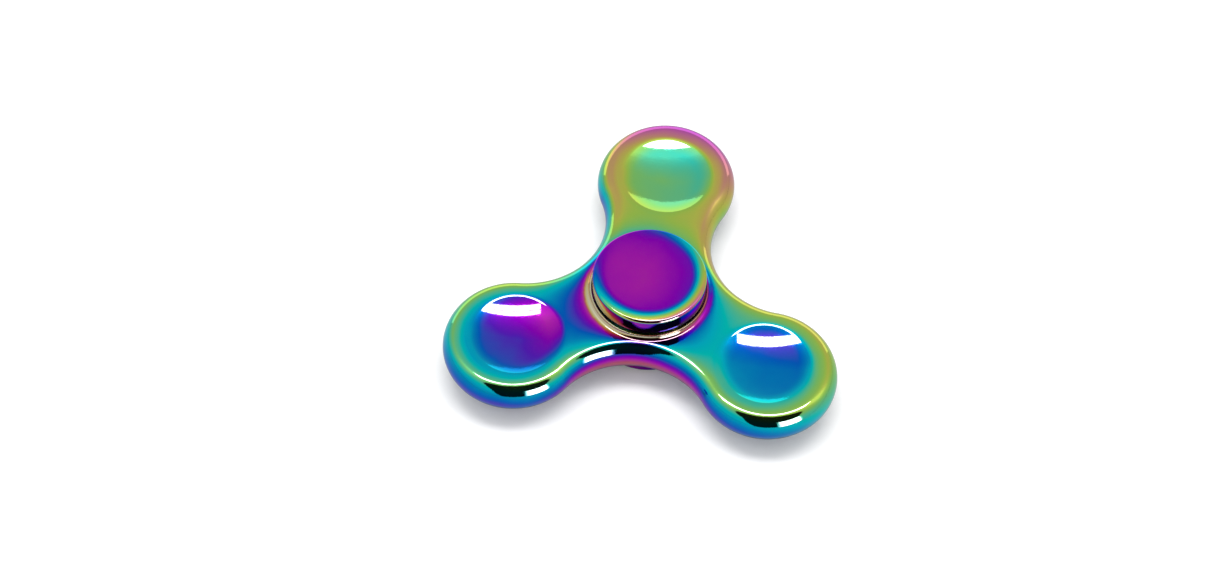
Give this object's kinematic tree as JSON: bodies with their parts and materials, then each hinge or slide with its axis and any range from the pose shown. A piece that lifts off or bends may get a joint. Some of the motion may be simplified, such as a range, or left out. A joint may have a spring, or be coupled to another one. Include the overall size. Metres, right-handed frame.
{
  "type": "fidget spinner",
  "caption": "Three-lobed die-cast metal fidget spinner with finger dimples, a centre ball bearing between two finger caps, and an iridescent rainbow mirror plating.",
  "frame": {"origin": "the spin centre, on the bearing's axis and half way up the body, which is also the centre of mass", "axes": "+Z is the spin axis, +Y points to the first of the three lobes, +X lies across it to the right"},
  "size_m": [0.075, 0.0685, 0.0172],
  "materials": {
    "body_plating": "polished",
    "cap_plating": "polished",
    "bearing_steel": "polished",
    "ball_steel": "polished",
    "pressed_sheet": "satin",
    "shield_sheet": "satin",
    "spring_wire": "satin",
    "screw_steel": "satin"
  },
  "bodies": {
    "hub": {"upper_cap": "cap_plating", "lower_cap": "cap_plating", "axle_screw": "screw_steel", "bearing_inner_ring": "bearing_steel"},
    "spinner": {"spinner_body": "body_plating", "bearing_outer_ring": "bearing_steel", "shield_upper": "shield_sheet", "shield_lower": "shield_sheet", "shield_clip_upper": "spring_wire", "shield_clip_lower": "spring_wire"},
    "cage": {"cage_upper_half": "pressed_sheet", "cage_lower_half": "pressed_sheet", "cage_rivet_1": "pressed_sheet", "cage_rivet_2": "pressed_sheet", "cage_rivet_3": "pressed_sheet", "cage_rivet_4": "pressed_sheet", "cage_rivet_5": "pressed_sheet", "cage_rivet_6": "pressed_sheet", "cage_rivet_7": "pressed_sheet"},
    "ball_1": {"bearing_ball_1": "ball_steel"},
    "ball_2": {"bearing_ball_2": "ball_steel"},
    "ball_3": {"bearing_ball_3": "ball_steel"},
    "ball_4": {"bearing_ball_4": "ball_steel"},
    "ball_5": {"bearing_ball_5": "ball_steel"},
    "ball_6": {"bearing_ball_6": "ball_steel"},
    "ball_7": {"bearing_ball_7": "ball_steel"}
  },
  "joints": [
    {"name": "spin", "type": "hinge", "parent": "hub", "child": "spinner", "pos_m": [0, 0, 0], "axis": [0, 0, 1], "continuous": true},
    {"name": "cage_orbit", "type": "hinge", "parent": "hub", "child": "cage", "pos_m": [0, 0, 0], "axis": [0, 0, 1], "continuous": true},
    {"name": "ball_1_roll", "type": "hinge", "parent": "cage", "child": "ball_1", "pos_m": [0.0075, 0, 0], "axis": [0, 0, 1], "continuous": true},
    {"name": "ball_2_roll", "type": "hinge", "parent": "cage", "child": "ball_2", "pos_m": [0.00468, 0.00586, 0], "axis": [0, 0, 1], "continuous": true},
    {"name": "ball_3_roll", "type": "hinge", "parent": "cage", "child": "ball_3", "pos_m": [-0.00167, 0.00731, 0], "axis": [0, 0, 1], "continuous": true},
    {"name": "ball_4_roll", "type": "hinge", "parent": "cage", "child": "ball_4", "pos_m": [-0.00676, 0.00325, 0], "axis": [0, 0, 1], "continuous": true},
    {"name": "ball_5_roll", "type": "hinge", "parent": "cage", "child": "ball_5", "pos_m": [-0.00676, -0.00325, 0], "axis": [0, 0, 1], "continuous": true},
    {"name": "ball_6_roll", "type": "hinge", "parent": "cage", "child": "ball_6", "pos_m": [-0.00167, -0.00731, 0], "axis": [0, 0, 1], "continuous": true},
    {"name": "ball_7_roll", "type": "hinge", "parent": "cage", "child": "ball_7", "pos_m": [0.00468, -0.00586, 0], "axis": [0, 0, 1], "continuous": true}
  ],
  "couplings": [
    {"joint": "cage_orbit", "follows": "spin", "ratio": 0.6323},
    {"joint": "ball_1_roll", "follows": "spin", "ratio": 1.7573},
    {"joint": "ball_2_roll", "follows": "spin", "ratio": 1.7573},
    {"joint": "ball_3_roll", "follows": "spin", "ratio": 1.7573},
    {"joint": "ball_4_roll", "follows": "spin", "ratio": 1.7573},
    {"joint": "ball_5_roll", "follows": "spin", "ratio": 1.7573},
    {"joint": "ball_6_roll", "follows": "spin", "ratio": 1.7573},
    {"joint": "ball_7_roll", "follows": "spin", "ratio": 1.7573}
  ]
}
